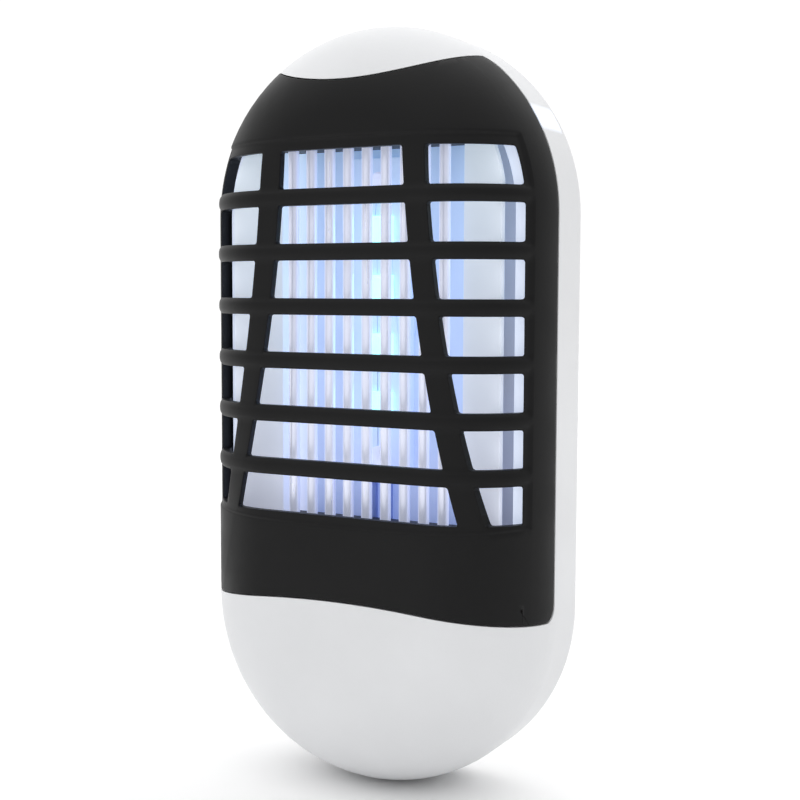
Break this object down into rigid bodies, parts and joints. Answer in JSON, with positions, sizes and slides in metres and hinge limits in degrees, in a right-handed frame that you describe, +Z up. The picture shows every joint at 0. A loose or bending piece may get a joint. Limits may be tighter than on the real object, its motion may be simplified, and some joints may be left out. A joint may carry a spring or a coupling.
{
  "type": "plug-in electric bug zapper",
  "caption": "Capsule-shaped plug-in insect zapper: white body, black slatted grille cover, lit chamber with a bar grid, plug blades at the back.",
  "frame": {"origin": "middle of the rear cover's flat back, which lies against the wall", "axes": "+Z up, the grille faces -Y, the plug blades point along +Y, +X to the right as seen from the front"},
  "size_m": [0.0695, 0.046, 0.139],
  "materials": {
    "white_shell": "smooth satin white moulded plastic",
    "black_shell": "satin black moulded plastic",
    "reflector_white": "glossy white lining",
    "black_comb": "matt black insulating plastic",
    "grid_steel": "bright plated steel wire",
    "lamp_board": "white solder resist",
    "lamp": "clear ultraviolet lamp, lit pale blue",
    "screw_steel": "zinc-plated steel",
    "circuit_board": "green solder resist",
    "yellow_capacitor": "yellow cast box",
    "blue_sleeve": "dark blue sleeve",
    "red_capacitor": "red-brown cast box",
    "diode_black": "black moulded body",
    "resistor_tan": "tan lacquer",
    "resistor_green": "grey-green lacquer",
    "blade_brass": "bright brass",
    "clamp_grey": "dark grey insulating plastic",
    "switch_grey": "dark grey plastic",
    "knob_white": "light grey plastic",
    "lead_grey": "grey insulation",
    "lead_red": "red insulation",
    "lead_blue": "blue insulation"
  },
  "bodies": {
    "base": {"front_housing": "white_shell", "rear_cover": "white_shell", "reflector": "reflector_white", "upper_comb": "black_comb", "lower_comb": "black_comb", "live_bars": "grid_steel", "return_bars": "grid_steel", "lamp_board": "lamp_board", "uv_lamps": "lamp", "lamp_board_screws": "screw_steel", "driver_board": "circuit_board", "driver_board_screws": "screw_steel", "dropper_capacitor": "yellow_capacitor", "smoothing_capacitor": "blue_sleeve", "multiplier_capacitors": "red_capacitor", "multiplier_diodes": "diode_black", "bleed_resistors": "resistor_tan", "fuse_resistor": "resistor_green", "plug_blades": "blade_brass", "blade_clamp": "clamp_grey", "clamp_screws": "screw_steel", "switch_body": "switch_grey", "housing_screws": "screw_steel", "mains_leads": "lead_grey", "grid_leads": "lead_red", "lamp_leads": "lead_blue"},
    "cover": {"grille_cover": "black_shell", "insect_tray": "black_shell"},
    "knob": {"switch_knob": "knob_white"}
  },
  "joints": [
    {"name": "cover_pull", "type": "slide", "parent": "base", "child": "cover", "axis": [0, -1, 0], "range_m": [0, 0.04]},
    {"name": "switch_slide", "type": "slide", "parent": "base", "child": "knob", "axis": [0, 0, 1], "range_m": [-0.003, 0]}
  ]
}
